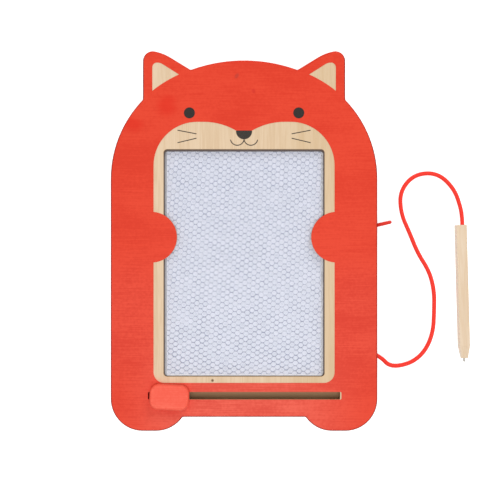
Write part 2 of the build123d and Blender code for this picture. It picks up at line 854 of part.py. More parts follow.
print("cord volume over section times length", round(pen_cord.part.volume / cord_volume, 6))
pen_cord.part.label = "pen_cord"

for piece in (
    back_panel,
    core_frame,
    screen_frame,
    front_panel,
    red_paint,
    eye_print,
    muzzle_print,
    screen_tape,
    screen_front_sheet,
    screen_honeycomb,
    screen_rim,
    screen_back_sheet,
    eraser_knob,
    eraser_carriage,
    eraser_magnet,
    eraser_felt,
    eraser_glide_pads,
    eraser_screws,
    back_screws,
    pen_loop,
    loop_ferrule,
    cord_board_end,
    pen_cord,
    cord_pen_end,
    pen_body,
    pen_tip,
    pen_magnet,
):
    export_step(piece.part, f"parts/{piece.part.label}.step")
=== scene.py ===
# %% [markdown]
# # A wooden magnetic drawing board with a fox's face
#
# The board lies on its back with its pen beside it on a red cord. All the stiff pieces come from
# the CAD model, which this script loads as its frame. Blender adds what a stiff model leaves out:
# the small cells of the magnetic screen, the woven cord and the elastic loop, and a finish for
# each surface. One unit is a metre. X runs to the right, Y to the ears and Z up, out of the face.

import math

import bpy
import numpy as np
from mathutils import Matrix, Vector


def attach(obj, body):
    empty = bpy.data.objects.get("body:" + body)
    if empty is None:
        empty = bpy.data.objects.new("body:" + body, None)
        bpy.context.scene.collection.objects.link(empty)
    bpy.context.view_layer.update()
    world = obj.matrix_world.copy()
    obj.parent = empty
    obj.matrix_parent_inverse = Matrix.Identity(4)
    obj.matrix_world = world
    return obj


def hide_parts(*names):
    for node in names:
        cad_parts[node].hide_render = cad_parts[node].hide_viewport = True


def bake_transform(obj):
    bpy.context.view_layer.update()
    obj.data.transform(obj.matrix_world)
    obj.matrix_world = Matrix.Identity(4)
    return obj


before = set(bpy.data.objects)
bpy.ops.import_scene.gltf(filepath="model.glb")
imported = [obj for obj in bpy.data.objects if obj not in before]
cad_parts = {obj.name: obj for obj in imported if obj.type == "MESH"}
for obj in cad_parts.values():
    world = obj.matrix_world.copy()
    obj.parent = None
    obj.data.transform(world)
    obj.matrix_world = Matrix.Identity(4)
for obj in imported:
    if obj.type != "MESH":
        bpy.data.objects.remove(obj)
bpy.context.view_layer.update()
MM = 0.001

# %% [markdown]
# ## The camera
#
# The board is seen from straight above. At the height of the face one pixel is 0.936 mm, and the
# camera's axis meets the face a little below and right of the middle. A camera one metre above
# the face gives the small amount of depth that the slot and the knob show, so its lens follows
# from that height and from the width that the frame covers.

# %% Camera
FACE_Z = 16 * MM
CAMERA_HEIGHT = 1.0
FRAME_WIDTH = 468.2 * MM
VIEW_X = 5.55 * MM
VIEW_Y = -8.4 * MM

camera_data = bpy.data.cameras.new("overhead_camera")
camera_data.sensor_width = 36
camera_data.lens = camera_data.sensor_width * CAMERA_HEIGHT / FRAME_WIDTH
camera = bpy.data.objects.new("overhead_camera", camera_data)
camera.location = (VIEW_X, VIEW_Y, FACE_Z + CAMERA_HEIGHT)
bpy.context.scene.collection.objects.link(camera)
bpy.context.scene.camera = camera
print("lens", round(camera_data.lens, 2), "mm")

# %% [markdown]
# ## Surfaces from arrays
#
# Each new piece is a grid of points worked out at once with numpy. Rows run along the piece and
# columns run round it. The same few lines turn any such grid into a mesh, with a UV map that
# counts turns and millimetres, so that a weave can be given its real size.


# %% From points to a piece
def make_piece(name, points, faces, replaced):
    """A smooth mesh object from points and faces, in place of a CAD node."""
    mesh = bpy.data.meshes.new(name)
    mesh.from_pydata(points.reshape(-1, 3).tolist(), [], faces)
    mesh.shade_smooth()
    piece = bpy.data.objects.new(name, mesh)
    bpy.context.scene.collection.objects.link(piece)
    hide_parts(replaced)
    return piece


def unit(vectors):
    """Each vector divided by its length."""
    return vectors / np.linalg.norm(vectors, axis=-1, keepdims=True)


print("unit of 3, 0, 4 is", unit(np.array([3.0, 0.0, 4.0])).tolist())

# %% A round profile carried along a path
TUBE_SIDES = 20
UP = np.array([0.0, 0.0, 1.0])


def carry_circle(path, radii, across):
    """Rings of points round a path.

    At each point of the path the tangent is the difference of its neighbours. One side of the
    ring lies along tangent x across and the other at right angles to both, and a ring is centre +
    radius * (cos * first + sin * second). across must never be parallel to the path.
    """
    tangent = unit(np.gradient(path, axis=0))
    first = unit(np.cross(tangent, across))
    second = np.cross(first, tangent)
    turn = np.linspace(0, 2 * np.pi, TUBE_SIDES, endpoint=False)[None, :, None]
    ring = np.cos(turn) * first[:, None] + np.sin(turn) * second[:, None]
    return path[:, None] + radii[:, None, None] * ring


def make_tube(name, path, radii, across, replaced):
    """A tube along a path: quads between its rings, and one flat cap of all its sides at each end.

    A face joins a ring's point, the next point round, and the two behind them. The UV map gives
    turns round the tube from nought to one, and millimetres along it.
    """
    index = np.arange(len(path) * TUBE_SIDES).reshape(-1, TUBE_SIDES)
    turned = np.roll(index, -1, axis=1)
    quads = np.stack([index[:-1], turned[:-1], turned[1:], index[1:]], axis=-1).reshape(-1, 4)
    faces = quads.tolist() + [index[0, ::-1].tolist(), index[-1].tolist()]
    piece = make_piece(name, carry_circle(path, radii, across), faces, replaced)
    steps = np.linalg.norm(np.diff(path, axis=0), axis=1)
    along = np.concatenate([[0], np.cumsum(steps)]) / MM
    turns = (quads % TUBE_SIDES) / TUBE_SIDES
    turns[:, 1:3] = np.where(turns[:, 1:3] < turns[:, :1], 1, turns[:, 1:3])
    quad_uv = np.stack([turns, along[quads // TUBE_SIDES]], axis=-1).reshape(-1, 2)
    cap_uv = np.zeros((2 * TUBE_SIDES, 2))
    layer = piece.data.uv_layers.new(name="weave")
    layer.data.foreach_set("uv", np.concatenate([quad_uv, cap_uv]).ravel())
    return piece


straight = np.array([(0.0, 0.0, 0.0), (1.0, 0.0, 0.0), (2.0, 0.0, 0.0)])
print("three rings of points", carry_circle(straight, np.ones(3), UP).shape[:2])

# %% [markdown]
# ## The cord
#
# The pen hangs on about 0.3 m of soft woven cord. It leaves the right side near the foot, slanting
# down the side, drops to the table, and goes round in one loose loop to the end of the pen. Its
# line is a smooth NURBS curve with listed control points. A mesh tube follows the curve. The weave
# is gripped at both ends, and loosens to a slightly thicker and uneven cord between them.

# %% The cord's line
CORD_RADIUS = 1.9 * MM
ROUTE = [
    (125.0, -107.7, 5.75),
    (130.63, -110.95, 5.75),
    (137.0, -117.8, 2.9),
    (147.5, -118.6, 2.05),
    (161.8, -113.8, 2.05),
    (173.0, -102.5, 2.05),
    (179.5, -85.6, 2.05),
    (180.4, -66.5, 2.05),
    (180.5, -47.0, 2.05),
    (175.7, -28.4, 2.05),
    (164.9, -11.7, 2.05),
    (157.3, 7.3, 2.05),
    (148.9, 26.0, 2.05),
    (147.8, 47.3, 2.05),
    (161.4, 63.5, 2.05),
    (183.3, 65.0, 2.05),
    (199.4, 50.0, 2.05),
    (205.6, 31.0, 3.4),
    (206.36, 20.2, 5.4),
    (206.5, 15.21, 5.4),
]
route = np.array(ROUTE) * MM

route_curve = bpy.data.curves.new("cord_line", "CURVE")
route_curve.dimensions = "3D"
spline = route_curve.splines.new("NURBS")
spline.points.add(len(route) - 1)
spline.points.foreach_set("co", np.column_stack([route, np.ones(len(route))]).ravel())
spline.order_u = 3
spline.use_endpoint_u = True
spline.resolution_u = 12
line_object = bpy.data.objects.new("cord_line", route_curve)
line_mesh = bpy.data.meshes.new_from_object(line_object)
cord_line = np.zeros(len(line_mesh.vertices) * 3)
line_mesh.vertices.foreach_get("co", cord_line)
cord_line = cord_line.reshape(-1, 3)
bpy.data.objects.remove(line_object)
bpy.data.meshes.remove(line_mesh)
line_steps = np.linalg.norm(np.diff(cord_line, axis=0), axis=1)
print("cord line", round(line_steps.sum() / MM, 1), "mm in", len(cord_line), "points")

# %% The woven cord
SWELL_SHARE = 0.08
SWELL_WAVE = 0.3
SWELL_LENGTH = 11 * MM
SWELL_BEAT = 2.7 * SWELL_LENGTH
GRIPPED_LENGTH = 12 * MM

run = np.concatenate([[0], np.cumsum(line_steps)])
wave = np.sin(run / SWELL_LENGTH) * np.cos(run / SWELL_BEAT)
free = np.clip(np.minimum(run, run[-1] - run) / GRIPPED_LENGTH, 0, 1)
cord_radii = CORD_RADIUS * (1 + SWELL_SHARE * free * (1 - SWELL_WAVE + SWELL_WAVE * wave))
cord = make_tube("woven_cord", cord_line, cord_radii, UP, "pen_cord")
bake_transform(cord)
print("cord faces", len(cord.data.polygons))

# %% [markdown]
# ## The elastic loop
#
# A short loop of round elastic stands out of the right side and holds the pen when it is put
# away. Both ends go into one hole, so its line is two straight legs, two short flares where the
# legs part, and a round bend. The line is flat, so each stretch is an arc or a straight run in
# the loop's own plane, which stands upright and is turned a little towards the ears.

# %% The elastic loop
LOOP_ROOT = np.array([125.0, 14.9, 8.2]) * MM
LOOP_TILT = math.radians(13)
ELASTIC_RADIUS = 1.7 * MM
BEND_RADIUS = 5.7 * MM
FLARE_RADIUS = 3 * MM
LEG_OFFSET = 1.75 * MM
LEG_DEPTH = 10 * MM
LOOP_REACH = 14.7 * MM
LEG_POINTS = 8
BEND_POINTS = 16


def loop_line():
    """Points of the loop: leg, flare, bend and back, as distance out of the side and height.

    The bend's centre lies at reach - wire - bend radius. A flare's centre stands off a leg by the
    flare's radius, and flare and bend touch on the line between their centres.
    """
    bend_x = LOOP_REACH - ELASTIC_RADIUS - BEND_RADIUS
    flare_z = LEG_OFFSET + FLARE_RADIUS
    flare_x = bend_x - math.sqrt((BEND_RADIUS + FLARE_RADIUS) ** 2 - flare_z**2)
    join = math.atan2(flare_z, flare_x - bend_x)
    leg_x = np.linspace(-LEG_DEPTH, flare_x, LEG_POINTS)
    leg = np.column_stack([leg_x, np.full(LEG_POINTS, LEG_OFFSET)])
    sweep = np.linspace(-np.pi / 2, join - np.pi, LEG_POINTS)[1:]
    flare = np.column_stack([np.cos(sweep), np.sin(sweep)]) * FLARE_RADIUS + (flare_x, flare_z)
    bend_sweep = np.linspace(join, 0, BEND_POINTS)[1:]
    bend = np.column_stack([np.cos(bend_sweep), np.sin(bend_sweep)]) * BEND_RADIUS + (bend_x, 0)
    upper = np.concatenate([leg, flare, bend])
    return np.concatenate([upper, upper[-2::-1] * (1, -1)])


out = np.array([math.cos(LOOP_TILT), math.sin(LOOP_TILT), 0])
across_loop = np.array([-out[1], out[0], 0])
flat_line = loop_line()
elastic_line = LOOP_ROOT + flat_line[:, :1] * out + flat_line[:, 1:] * UP
elastic_radii = np.full(len(elastic_line), ELASTIC_RADIUS)
loop = make_tube(
    "elastic_loop", elastic_line, elastic_radii, across_loop, "pen_loop"
)
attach(loop, "board")
print("elastic reach", round((elastic_line[:, 0].max() - LOOP_ROOT[0]) / MM, 1), "mm")

# %% [markdown]
# ## The cells of the screen
#
# The screen is a sheet of small six-sided cells, sealed between two films. Each cell holds a
# milky liquid and a little iron powder. Seen from above a cell is a pale round disc, and the
# walls between the discs are grey-blue and darkest where three of them meet. The sheet was cut a
# little askew and stretched towards the ears, so its columns lean by about four degrees and its
# rows spread. One cell is four rings of twelve points round its middle, and numpy copies it to
# every place of the lattice.

# %% The lattice
CELL_PITCH = 5.12 * MM
COLUMN_GAP = 3.95 * MM
LEAN = math.radians(4.3)
CELLS_HALF_WIDTH = 72.4 * MM
CELLS_FOOT = -125.4 * MM
CELLS_TOP = 84.4 * MM
CELLS_MIDDLE_Y = -17.8 * MM
ROW_SPREAD = 0.237
COLUMN_DRAW_IN = 0.3
WAVE_HEIGHT = 0.35 * MM
FIRST_CELL = np.array([73.0, 73.35]) * MM
COLUMNS = np.arange(-42, 8)
ROWS = np.arange(-8, 48)
RANDOM = np.random.default_rng(7)

down = np.array([-math.sin(LEAN), -math.cos(LEAN)])
along_row = np.array([math.cos(LEAN), -math.sin(LEAN)])
column, row = np.meshgrid(COLUMNS, ROWS)
row = row + 0.5 * (column % 2)

# A cell's centre is the first one + column * gap along the row + row * pitch down the column, and
# every other column is half a cell lower.
lattice = column[..., None] * COLUMN_GAP * along_row + row[..., None] * CELL_PITCH * down
centers = FIRST_CELL + lattice.reshape(-1, 2)


def stretched(flat):
    """Places on the sheet after it was stretched.

    With h the metres above the sheet's middle, y gains spread * h squared, and x is multiplied by
    1 - draw * h. Two slow waves shift both by a third of a millimetre.
    """
    x, y = flat[..., 0], flat[..., 1]
    height = y - CELLS_MIDDLE_Y
    wave_x = WAVE_HEIGHT * np.sin(y / (19 * MM)) * np.cos(x / (31 * MM))
    wave_y = WAVE_HEIGHT * np.sin(x / (23 * MM) + 1) * np.cos(y / (27 * MM))
    new_x = x * (1 - COLUMN_DRAW_IN * height) + wave_x
    return np.stack([new_x, y + ROW_SPREAD * height**2 + wave_y], axis=-1)


places = stretched(centers)
near_x = np.abs(places[:, 0]) < CELLS_HALF_WIDTH + 0.7 * COLUMN_GAP
over_foot = places[:, 1] > CELLS_FOOT - 0.6 * CELL_PITCH
under_top = places[:, 1] < CELLS_TOP + 0.6 * CELL_PITCH
centers = centers[near_x & over_foot & under_top]
print("cells", len(centers), "with those that the sheet's edges cut")

# %% One cell
RING_POINTS = 12
RINGS = 4
DISC_RADIUS = 2.05 * MM
DISC_SPREAD = 0.06
DISC_SHIFT = 0.13 * MM
RIM_PARTS = (0.2, 0.8)
FLOOR_PART = 0.72
CORE_PART = 0.4
DROP_PARTS = [0, 0.7, 1, 1, 1.3]
WALL_TOP = 10.98 * MM
DISC_DROP = 0.35 * MM


def cell_outline():
    """Twelve points round a cell: the six corners and the middles of the six walls.

    Walls lie half way to the six neighbours, so the top wall is at half the pitch. The upper
    corners are where the wall half way to the next column meets the top wall, and the side
    corners are where two such walls meet.
    """
    half = CELL_PITCH / 2
    reach = (COLUMN_GAP**2 + half**2) / 2
    top_x = (reach - half**2) / COLUMN_GAP
    side_x = reach / COLUMN_GAP
    upper = np.array([(side_x, 0), (top_x, half), (-top_x, half)])
    local = np.concatenate([upper, -upper])
    corners = local[:, :1] * along_row - local[:, 1:] * down
    middles = (corners + np.roll(corners, -1, axis=0)) / 2
    return np.stack([corners, middles], axis=1).reshape(RING_POINTS, 2)


outline = cell_outline()
disc = unit(outline) * DISC_RADIUS
disc_scale = RANDOM.normal(1, DISC_SPREAD, (len(centers), 1, 1))
nudge = RANDOM.normal(0, DISC_SHIFT, (len(centers), 1, 2))
ring_wall = np.broadcast_to(outline, (len(centers), RING_POINTS, 2))
ring_rim = ring_wall * RIM_PARTS[0] + RIM_PARTS[1] * (disc * disc_scale + nudge)
ring_floor = disc * FLOOR_PART * disc_scale + nudge
ring_core = disc * CORE_PART * disc_scale + nudge
flat_rings = np.concatenate([ring_wall, ring_rim, ring_floor, ring_core, nudge], axis=1)
drops = np.repeat(DROP_PARTS, [RING_POINTS] * RINGS + [1]) * DISC_DROP
print("points in a cell", flat_rings.shape[1])

# %% All the cells
SMALLEST_FACE = 1e-4 * MM * MM

flat = stretched(centers[:, None] + flat_rings)
flat[..., 0] = np.clip(flat[..., 0], -CELLS_HALF_WIDTH, CELLS_HALF_WIDTH)
flat[..., 1] = np.clip(flat[..., 1], CELLS_FOOT, CELLS_TOP)
heights = np.broadcast_to(WALL_TOP - drops, flat.shape[:2])
cell_points = np.concatenate([flat, heights[..., None]], axis=-1).reshape(-1, 3)

# A quad joins a ring's point, the next point round, and the two inside them. Triangles join the
# last ring to the point in the middle of the disc.
index = np.arange(RING_POINTS * RINGS).reshape(RINGS, RING_POINTS)
after = np.roll(index, -1, axis=1)
offsets = np.arange(len(centers))[:, None, None] * flat_rings.shape[1]
bands = np.stack([index[:-1], after[:-1], after[1:], index[1:]], axis=-1)
quads = (bands.reshape(-1, 4) + offsets).reshape(-1, 4)
hub = np.stack([index[-1], after[-1], np.full(RING_POINTS, index.size)], axis=-1)
fans = (hub + offsets).reshape(-1, 3)


def spread_faces(faces):
    """The faces that still cover some area after the sheet's edge has cut the cells.

    A face's area is half the cross product of its two diagonals, or of two sides of a triangle.
    """
    a, b, c, d = (cell_points[faces[:, corner], :2] for corner in (0, 1, 2, -1))
    first, second = c - a, d - b
    area = 0.5 * np.abs(first[:, 0] * second[:, 1] - first[:, 1] * second[:, 0])
    return faces[area > SMALLEST_FACE]


quads, fans = spread_faces(quads), spread_faces(fans)
used, first_use = np.unique(np.concatenate([quads.ravel(), fans.ravel()]), return_inverse=True)
new_quads, new_fans = np.split(first_use.ravel(), [quads.size])
cell_faces = new_quads.reshape(-1, 4).tolist() + new_fans.reshape(-1, 3).tolist()
cells = make_piece(
    "screen_cells", cell_points[used], cell_faces, "screen_honeycomb"
)
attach(cells, "board")
print("cell triangles", 2 * len(quads) + len(fans))

# %% [markdown]
# The walls take their colour from a number on each point: over one on the short walls above and
# below a cell, less on the slanting ones, and nearly nought on the disc. In about half the cells
# the film has a dimple, which shows as a faint ring. Towards the feet the walls under each cell
# grow darker in an arc, and the upper ones paler.

# %% How dark each point is
DIMPLE_DARKNESS = 0.36
FOOT_START = 30 * MM
FOOT_LENGTH = 95 * MM
EVEN_POWDER = 0.85
UPPER_LOSS = 0.2
ARC_GAIN = 3.4
DARKEST = 1.5

# Half of the outline: side corner, slanting wall, corner, short wall, corner, slanting wall.
half_wall_share = np.array([0.8, 0.6, 1.1, 1.2, 1.1, 0.6])
wall_share = np.repeat([0, 0.15, 0, 0, 0], [RING_POINTS] * RINGS + [1])
wall_share[:RING_POINTS] = np.tile(half_wall_share, 2)
dimple_share = np.repeat([0, 0, 0, DIMPLE_DARKNESS, 0.06], [RING_POINTS] * RINGS + [1])
dimpled = RANDOM.uniform(0, 1, (len(centers), 1)) ** 2
below = np.clip(-flat_rings[..., 1] / CELL_PITCH * 2, 0, 1)
foot_share = np.clip((-centers[:, 1] - FOOT_START) / FOOT_LENGTH, 0, 1)[:, None]
powder = RANDOM.uniform(0.7, 1.3, (len(centers), 1))
# Towards the feet the lower walls of each cell grow darker in an arc and the upper ones paler.
arcs = EVEN_POWDER - UPPER_LOSS * foot_share + ARC_GAIN * below * foot_share**2
wall_weight = powder ** (1 + foot_share) * arcs
wall_values = np.clip(wall_share * wall_weight + dimple_share * dimpled, 0, DARKEST)
tone = np.broadcast_to(RANDOM.uniform(0, 1, (len(centers), 1)), wall_values.shape)
for name, values in (("wall", wall_values), ("tone", tone)):
    attribute = cells.data.attributes.new(name, "FLOAT", "POINT")
    attribute.data.foreach_set("value", values.ravel()[used])
print("darkest wall", round(float(wall_values.max()), 2))

# %% [markdown]
# ## Colours and nodes
#
# Colours are written as the sRGB values that the eye sees on the object, and one function turns
# them into the linear values that Blender works with. One more function adds a node with its
# settings, and either links each of its inputs or gives it a value.


# %% Colour and node helpers
def linear(code):
    """A hex colour as linear red, green, blue and alpha: a straight toe, then a power of 2.4."""
    srgb = np.array([int(code[place : place + 2], 16) for place in (1, 3, 5)]) / 255
    value = np.where(srgb <= 0.04045, srgb / 12.92, ((srgb + 0.055) / 1.055) ** 2.4)
    return (*value.tolist(), 1)


def new_material(name):
    """A material with no nodes yet."""
    material = bpy.data.materials.new(name)
    material.use_nodes = True
    material.node_tree.nodes.clear()
    return material


def add_node(material, kind, inputs, output=0, **settings):
    """Adds a shader node with its settings and links, and gives back one of its outputs.

    inputs maps the name or the number of an input to another node's output, or to a value.
    """
    node = material.node_tree.nodes.new("ShaderNode" + kind)
    for name, value in settings.items():
        setattr(node, name, value)
    for name, source in inputs.items():
        if isinstance(source, bpy.types.NodeSocket):
            material.node_tree.links.new(source, node.inputs[name])
        else:
            node.inputs[name].default_value = source
    return node.outputs[output] if node.outputs else None


def dress(material, *nodes):
    """The CAD nodes wear this material in the slot that they came with."""
    for node in nodes:
        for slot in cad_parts[node].material_slots:
            slot.material = material


print("middle grey is", round(linear("#808080")[0], 3), "in linear light")

# %% [markdown]
# ## Patterns
#
# A few small patterns serve several finishes: one colour giving way to another as a value rises,
# lines drawn out along a grain, a soft-edged ball round a point, and the way that the surface
# faces. The last one ends a material: its look goes into one Principled shader.

# %% Patterns
SPOT_CORE = 0.3


def two_tone(material, value, low, high, first, second):
    """The first colour where the value is low, the second where it is high, eased between."""
    limits = {"Value": value, "From Min": low, "From Max": high}
    share = add_node(material, "MapRange", limits, interpolation_type="SMOOTHSTEP")
    return add_node(material, "Mix", {0: share, 6: first, 7: second}, 2, data_type="RGBA")


def grain(material, place, length, width, turn=0.0):
    """Noise drawn out along Y, or along a line turned from Y about Z, in blobs of a real size."""
    turned = add_node(material, "Mapping", {"Vector": place, "Rotation": (0, 0, turn)})
    scaled = {"Vector": turned, "Scale": (1 / width, 1 / length, 1 / width)}
    drawn = add_node(material, "Mapping", scaled)
    return add_node(material, "TexNoise", {"Vector": drawn, "Scale": 1.0, "Detail": 3.0})


def spot(material, place, middle, radius, color, spot_color):
    """A colour with a ball of another about a point, soft at its edge."""
    points = {0: place, 1: middle}
    distance = add_node(material, "VectorMath", points, "Value", operation="DISTANCE")
    return two_tone(material, distance, SPOT_CORE * radius, radius, spot_color, color)


def facing(material, axis):
    """How squarely the surface faces along X, Y or Z: that part of its normal, from -1 to 1."""
    normal = add_node(material, "NewGeometry", {}, "Normal")
    return add_node(material, "SeparateXYZ", {0: normal}, axis)


def set_surface(material, look):
    """Ends a material with one Principled shader that has this look."""
    shader = add_node(material, "BsdfPrincipled", look)
    add_node(material, "OutputMaterial", {"Surface": shader})
    return material


print("patterns", [pattern.__name__ for pattern in (two_tone, grain, spot, facing)])

# %% [markdown]
# ## Light wood
#
# The board is plywood with a pale, close-grained top sheet, sanded and left bare where the paint
# stops. The pen is a sanded stick of light beech. On both the eye sees faint streaks along the
# grain and wide soft bands of tone, so both are noise drawn out along the grain. The pen is
# painted paler on its rounded edges, its sides and its nose. This is painted light that offsets
# the shade on the faces that don't look up.

# %% Sanded wood
WOOD_TONES = (0.75, 1.25)
PEN_TURN = math.radians(-1.56)
PEN_PAINTED_LIGHT_TILTS = (0.3, 0.9)


def light_wood(name, dark, pale, turn=0.0):
    """The start of a light wood: fine lines plus wide bands along the grain pick its tone.

    Gives back the material, the places on it, the fine lines and the colour.
    """
    material = new_material(name)
    place = add_node(material, "TexCoord", {}, "Object")
    fine = grain(material, place, 22 * MM, 0.9 * MM, turn)
    bands = grain(material, place, 140 * MM, 9 * MM, turn)
    both = add_node(material, "Math", {0: fine, 1: bands}, operation="ADD")
    color = two_tone(material, both, *WOOD_TONES, linear(dark), linear(pale))
    return material, place, fine, color


def finish_wood(material, fine, color):
    """A dull sanded surface with a very low bump from its fine lines."""
    bump = add_node(material, "Bump", {"Height": fine, "Strength": 0.1, "Distance": 0.1 * MM})
    look = {"Base Color": color, "Normal": bump, "Roughness": 0.7, "Specular IOR Level": 0.12}
    return set_surface(material, look)


pen_wood, _, pen_fine, pen_color = light_wood("sanded_beech_pen", "#e8cdad", "#f0dabf", PEN_TURN)
# Painted light: faces of the pen that tilt away from the top get the paler #fff3df.
pen_tilt = facing(pen_wood, "Z")
pen_color = two_tone(pen_wood, pen_tilt, *PEN_PAINTED_LIGHT_TILTS, linear("#fff3df"), pen_color)
dress(finish_wood(pen_wood, pen_fine, pen_color), "pen_body")
print(pen_wood.name, "has", len(pen_wood.node_tree.nodes), "nodes")

# %% [markdown]
# ## Plywood
#
# The top sheet is a slightly darker tan on the right and has one small dark knot below the screen.
# Cut edges show the darker layers of the ply, browned by the cutter. Inside the slot and the
# window the ply is painted darker, as painted shade in those recesses, and some red paint ran into
# the slot's left end. All of this depends on where a point is and which way it faces, so one
# function paints the front, the core and the back, each in its own tones.

# %% Plywood
LAYER_PAIR = 2.6 * MM
LAYER_EDGE = 0.3
LAYER_TILTS = (0.25, 0.7)
HEARTWOOD_START = 20 * MM
HEARTWOOD_END = 60 * MM
HEARTWOOD_SHARE = 0.25
INSIDE_TOP = 15 * MM
INSIDE_FOOT = 2.9 * MM
BACK_TOP = 0.3 * INSIDE_FOOT
KNOT = (-29.6 * MM, -130.6 * MM, FACE_Z)
KNOT_RADIUS = 1.9 * MM
SLOT_END = (-91 * MM, -144.9 * MM, 12 * MM)
SPRAY_RADIUS = 22 * MM


def ply_edge(material, place, color):
    """The colour of a flat face, giving way to the layers of the ply on upright faces.

    Layers are a sine of the height with one wave for a pair of sheets. A face is upright where
    the Z of its normal is near nought, whichever way the flat faces look.
    """
    height = add_node(material, "SeparateXYZ", {0: place}, "Z")
    layer_turn = {0: height, 1: 2 * math.pi / LAYER_PAIR}
    phase = add_node(material, "Math", layer_turn, operation="MULTIPLY")
    wave = add_node(material, "Math", {0: phase}, operation="SINE")
    glue, sheet = linear("#8a6848"), linear("#b9946a")
    layers = two_tone(material, wave, -LAYER_EDGE, LAYER_EDGE, glue, sheet)
    flatness = add_node(material, "Math", {0: facing(material, "Z")}, operation="ABSOLUTE")
    return two_tone(material, flatness, *LAYER_TILTS, layers, color)


def ply(name, dark, pale, inside):
    """Plywood with its darker right side, knot and edges, and an inside painted darker as shade,
    with a red end.

    The inside lies between the back and the face. Its colour gives way to the face's within the
    last millimetre under the face, and to the back's within three millimetres of the back.
    """
    material, place, fine, color = light_wood(name, dark, pale)
    across = add_node(material, "SeparateXYZ", {0: place}, "X")
    tan = {0: HEARTWOOD_SHARE, 6: color, 7: linear("#d0b17c")}
    darker = add_node(material, "Mix", tan, 2, data_type="RGBA")
    color = two_tone(material, across, HEARTWOOD_START, HEARTWOOD_END, color, darker)
    color = spot(material, place, KNOT, KNOT_RADIUS, color, linear("#5a4331"))
    color = ply_edge(material, place, color)
    height = add_node(material, "SeparateXYZ", {0: place}, "Z")
    # Between the back and the face the ply takes its darker inside colour: painted shade in the
    # slot and the window.
    shaded_inside = two_tone(material, height, INSIDE_TOP, FACE_Z, linear(inside), color)
    shaded_inside = spot(material, place, SLOT_END, SPRAY_RADIUS, shaded_inside, linear("#ff2a14"))
    color = two_tone(material, height, BACK_TOP, INSIDE_FOOT, color, shaded_inside)
    return finish_wood(material, fine, color)


# The last colour given to each ply is its inside colour, which is painted shade.
dress(ply("bare_basswood_ply", "#e6caa7", "#f2dabb", "#cca67b"), "front_panel")
dress(ply("ply_core", "#cba97f", "#dcc09a", "#ae8861"), "core_frame", "screen_frame")
dress(ply("ply_back", "#e2c8a5", "#ecd5b5", "#bf9b76"), "back_panel")
print("layers of ply", round(FACE_Z / LAYER_PAIR * 2), "in", FACE_Z / MM, "mm")

# %% [markdown]
# ## Red paint
#
# The face and the sides are sprayed with a thin satin paint. It fills the grain but doesn't quite
# hide it, and dries with a fine mottle. Two small knots show through on the forehead, the lower
# one faintly, and the paint lies thicker in two patches on the left of the head. Round the slot,
# and a little on the lower sides, the red is painted paler and pinker. This is a painted sheen
# that stands for a soft reflection of the light. On the upright sides the paint soaks into the
# ends of the fibres and dries deeper, and that deeper red also stands for the shade along the
# board's edges. A thin dark line of painted shade runs along the rounded arris, but not where that
# faces the ears and the lamp beyond them. The knob has a thicker and pinker coat.

# %% Satin paint
PAINT_TONES = (0.7, 1.3)
MOTTLE_SIZE = 2.4 * MM
MOTTLE_SHARE = 0.6
PATCH_DRIFT = 24 * MM
EAR_FACING = (0.2, 0.7)
SIDE_TILTS = (0.1, 0.4)
FACE_TILTS = (0.75, 1.0)


def satin_red(name, deep, bright, side, arris, marks=()):
    """Satin paint over wood: two close reds, marks, and deeper reds off the face.

    The reds follow the sum of three noises: lines and clouds along the grain, and a mottle centred
    on nought. A mark is a point, a radius and the two reds there, and the clouds shift it, which
    makes its edge uneven. The Z of the normal tells the face, the rounded arris and the upright
    side apart. The side's deeper red also stands for shade. The arris takes a dark line of painted
    shade, except where the Y of its normal says that it faces the ears.
    """
    material = new_material(name)
    place = add_node(material, "TexCoord", {}, "Object")
    fine = grain(material, place, 30 * MM, 0.7 * MM, math.pi / 2)
    clouds = grain(material, place, 60 * MM, 26 * MM, math.pi / 2)
    large = add_node(material, "Math", {0: fine, 1: clouds}, operation="ADD")
    blobs = {"Vector": place, "Scale": 1 / MOTTLE_SIZE, "Detail": 2.0}
    centered = {0: add_node(material, "TexNoise", blobs), 1: MOTTLE_SHARE, 2: -MOTTLE_SHARE / 2}
    mottle = add_node(material, "Math", centered, operation="MULTIPLY_ADD")
    tone = add_node(material, "Math", {0: mottle, 1: large}, operation="ADD")
    color = two_tone(material, tone, *PAINT_TONES, linear(deep), linear(bright))

    shift = {0: clouds, 1: PATCH_DRIFT, 2: -PATCH_DRIFT / 2}
    drift = add_node(material, "Math", shift, operation="MULTIPLY_ADD")
    drifted = add_node(material, "VectorMath", {0: place, 1: drift}, operation="ADD")
    for middle, radius, mark_deep, mark_bright in marks:
        mark = two_tone(material, tone, *PAINT_TONES, linear(mark_deep), linear(mark_bright))
        color = spot(material, drifted, middle, radius, color, mark)

    tilt = facing(material, "Z")
    # Painted shade: a dark arris except where it faces the ears, and upright sides whose deeper
    # red partly stands for their shade.
    painted_arris_shade = two_tone(material, facing(material, "Y"), *EAR_FACING, linear(arris), linear(deep))
    steep = two_tone(material, tilt, *SIDE_TILTS, linear(side), painted_arris_shade)
    relief = {"Height": fine, "Strength": 0.12, "Distance": 0.1 * MM}
    look = {
        "Base Color": two_tone(material, tilt, *FACE_TILTS, steep, color),
        "Normal": add_node(material, "Bump", relief),
        "Roughness": 0.5,
        "Specular IOR Level": 0.2,
    }
    return set_surface(material, look)


knob_red = satin_red("satin_knob_paint", "#fa5c46", "#ff6d56", "#f05a45", "#f05a45")
dress(knob_red, "eraser_knob")
print(knob_red.name, "has", len(knob_red.node_tree.nodes), "nodes")

